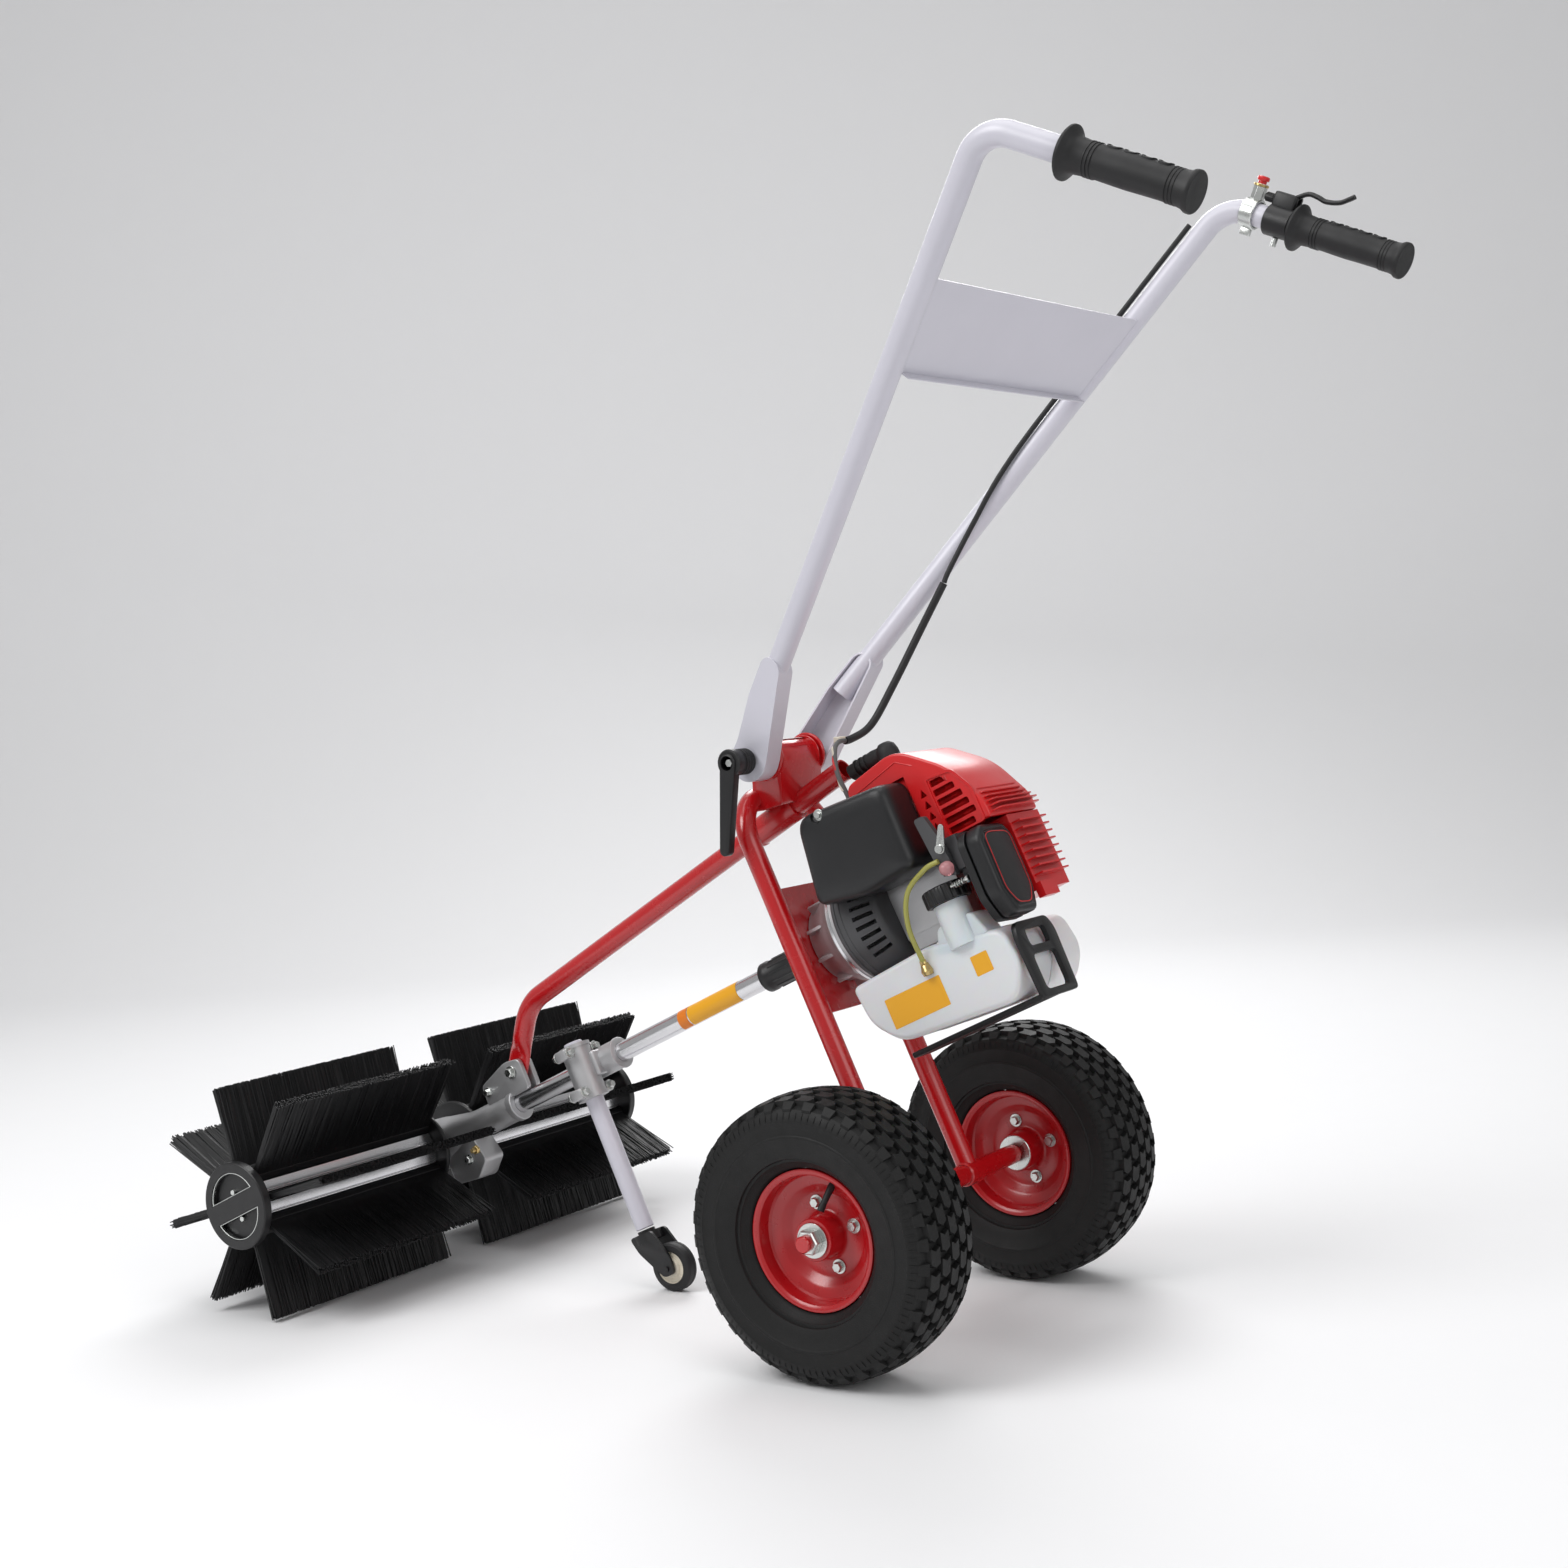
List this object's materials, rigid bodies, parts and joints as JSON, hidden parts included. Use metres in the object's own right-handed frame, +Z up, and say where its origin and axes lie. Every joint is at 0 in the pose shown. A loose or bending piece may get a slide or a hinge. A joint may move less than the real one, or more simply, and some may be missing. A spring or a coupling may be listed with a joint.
{
  "type": "power sweeper",
  "caption": "Walk-behind power sweeper: a small petrol engine on a two-wheeled tube frame drives a wide roller brush through a long drive tube, steered by a tilting handle",
  "frame": {"origin": "the middle of the machine's bounding box, on the ground under it", "axes": "+X is the machine's left, along the wheel axle; +Y is backwards, towards the operator; +Z is up"},
  "size_m": [0.7546, 1.5176, 1.3632],
  "materials": {
    "red_paint": "gloss red powder coat",
    "aluminium": "drawn and lightly brushed",
    "cast": "as-cast, slightly rough",
    "zinc": "zinc-plated steel",
    "rubber": "moulded black rubber",
    "dark_cast": "dark grey moulding",
    "red_plastic": "moulded gloss red",
    "dark_plastic": "satin dark grey moulding",
    "black_plastic": "fine matt moulding",
    "white_plastic": "translucent white polyethylene",
    "hose": "translucent yellow-green hose",
    "grey_paint": "light grey powder coat",
    "tyre": "black turf tread rubber",
    "red_rim": "gloss red enamel on pressed steel",
    "bristle": "black nylon filaments"
  },
  "bodies": {
    "chassis": {"frame_legs": "red_paint", "axle_beam": "red_paint", "engine_plate": "red_paint", "pivot_head": "red_paint", "support_arm": "red_paint", "drive_tube": "aluminium", "gearbox_housing": "cast", "clamp_body": "cast", "clamp_cap": "cast", "axle_nut_left": "zinc", "axle_nut_right": "zinc", "tube_boot": "rubber", "clutch_housing": "cast", "fan_case": "dark_cast", "crankcase": "cast", "cylinder": "cast", "engine_shroud": "red_plastic", "muffler_cover": "dark_plastic", "muffler": "zinc", "spark_plug_boot": "rubber", "carburettor": "dark_cast", "air_cleaner_base": "black_plastic", "air_cleaner_cover": "dark_plastic", "fuel_tank": "white_plastic", "tank_guard": "black_plastic", "fuel_line": "hose", "starter_housing": "red_plastic", "pivot_bolt": "zinc", "cable_sleeve": "rubber"},
    "handle": {"handle_tube_left": "grey_paint", "handle_tube_right": "grey_paint", "cross_plate": "grey_paint", "grip_left": "rubber", "grip_right": "rubber", "lever_perch": "black_plastic", "switch_body": "zinc", "throttle_cable": "rubber"},
    "wheel_left": {"tyre_left": "tyre", "rim_left": "red_rim"},
    "wheel_right": {"tyre_right": "tyre", "rim_right": "red_rim"},
    "brush": {"brush_shaft": "zinc", "brush_core_left": "aluminium", "brush_core_right": "aluminium", "bristles_left": "bristle", "bristles_right": "bristle", "end_disc_left": "black_plastic", "end_disc_right": "black_plastic"},
    "drive_shaft": {"drive_shaft": "zinc"},
    "flywheel": {"flywheel": "cast"},
    "caster_post": {"caster_post": "grey_paint"},
    "caster_fork": {"caster_fork": "black_plastic"},
    "caster_wheel": {"caster_wheel": "rubber"},
    "clamp_lever": {"clamp_lever": "black_plastic"},
    "throttle_lever": {"throttle_lever": "black_plastic"},
    "kill_button": {"kill_button": "red_plastic"},
    "fuel_cap": {"fuel_cap": "black_plastic"},
    "starter_grip": {"starter_grip": "black_plastic"},
    "choke_lever": {"choke_lever": "zinc"},
    "primer_bulb": {"primer_bulb": "hose"}
  },
  "joints": [
    {"name": "wheel_left_spin", "type": "hinge", "parent": "chassis", "child": "wheel_left", "pos_m": [0.231, 0.22138, 0.165], "axis": [1, 0, 0], "continuous": true},
    {"name": "wheel_right_spin", "type": "hinge", "parent": "chassis", "child": "wheel_right", "pos_m": [-0.231, 0.22138, 0.165], "axis": [1, 0, 0], "continuous": true},
    {"name": "brush_spin", "type": "hinge", "parent": "chassis", "child": "brush", "pos_m": [0, -0.60862, 0.152], "axis": [1, 0, 0], "continuous": true},
    {"name": "drive_shaft_spin", "type": "hinge", "parent": "chassis", "child": "drive_shaft", "pos_m": [0, -0.16315, 0.34755], "axis": [0, 0.9157, 0.4019], "continuous": true},
    {"name": "crank_spin", "type": "hinge", "parent": "chassis", "child": "flywheel", "pos_m": [0, 0.16649, 0.49225], "axis": [0, 0.9157, 0.4019], "continuous": true},
    {"name": "handle_tilt", "type": "hinge", "parent": "chassis", "child": "handle", "pos_m": [0, 0.03588, 0.694], "axis": [1, 0, 0], "range_deg": [-25, 10], "deforming": ["cable_sleeve"]},
    {"name": "clamp_lever_turn", "type": "hinge", "parent": "handle", "child": "clamp_lever", "pos_m": [0.104, 0.03588, 0.694], "axis": [1, 0, 0], "range_deg": [-75, 75]},
    {"name": "throttle_lever_pull", "type": "hinge", "parent": "handle", "child": "throttle_lever", "pos_m": [-0.29335, 0.61446, 1.32581], "axis": [-0.9991, 0.0409, -0.0089], "range_deg": [0, 14], "stiffness_Nm_per_rad": 0.6},
    {"name": "kill_button_press", "type": "slide", "parent": "handle", "child": "kill_button", "axis": [-0.0089, -0.4172, -0.9088], "range_m": [0, 0.003], "stiffness_N_per_m": 400},
    {"name": "caster_height", "type": "slide", "parent": "chassis", "child": "caster_post", "axis": [0, -0.4019, 0.9157], "range_m": [-0.03, 0.06]},
    {"name": "caster_swivel", "type": "hinge", "parent": "caster_post", "child": "caster_fork", "pos_m": [0.027, -0.2256, 0.10171], "axis": [0, -0.4019, 0.9157], "continuous": true},
    {"name": "caster_spin", "type": "hinge", "parent": "caster_fork", "child": "caster_wheel", "pos_m": [0.027, -0.16988, 0.032], "axis": [1, 0, 0], "continuous": true},
    {"name": "starter_pull", "type": "slide", "parent": "chassis", "child": "starter_grip", "axis": [-1, 0, 0], "range_m": [0, 0.025], "stiffness_N_per_m": 150},
    {"name": "fuel_cap_turn", "type": "hinge", "parent": "chassis", "child": "fuel_cap", "pos_m": [0.064, 0.29705, 0.53318], "axis": [0, -0.4019, 0.9157], "range_deg": [0, 170]},
    {"name": "choke_turn", "type": "hinge", "parent": "chassis", "child": "choke_lever", "pos_m": [0.09, 0.30826, 0.58725], "axis": [1, 0, 0], "range_deg": [0, 60]},
    {"name": "primer_press", "type": "slide", "parent": "chassis", "child": "primer_bulb", "axis": [-1, 0, 0], "range_m": [0, 0.003], "stiffness_N_per_m": 300}
  ],
  "couplings": [
    {"joint": "drive_shaft_spin", "follows": "brush_spin", "ratio": -2}
  ]
}
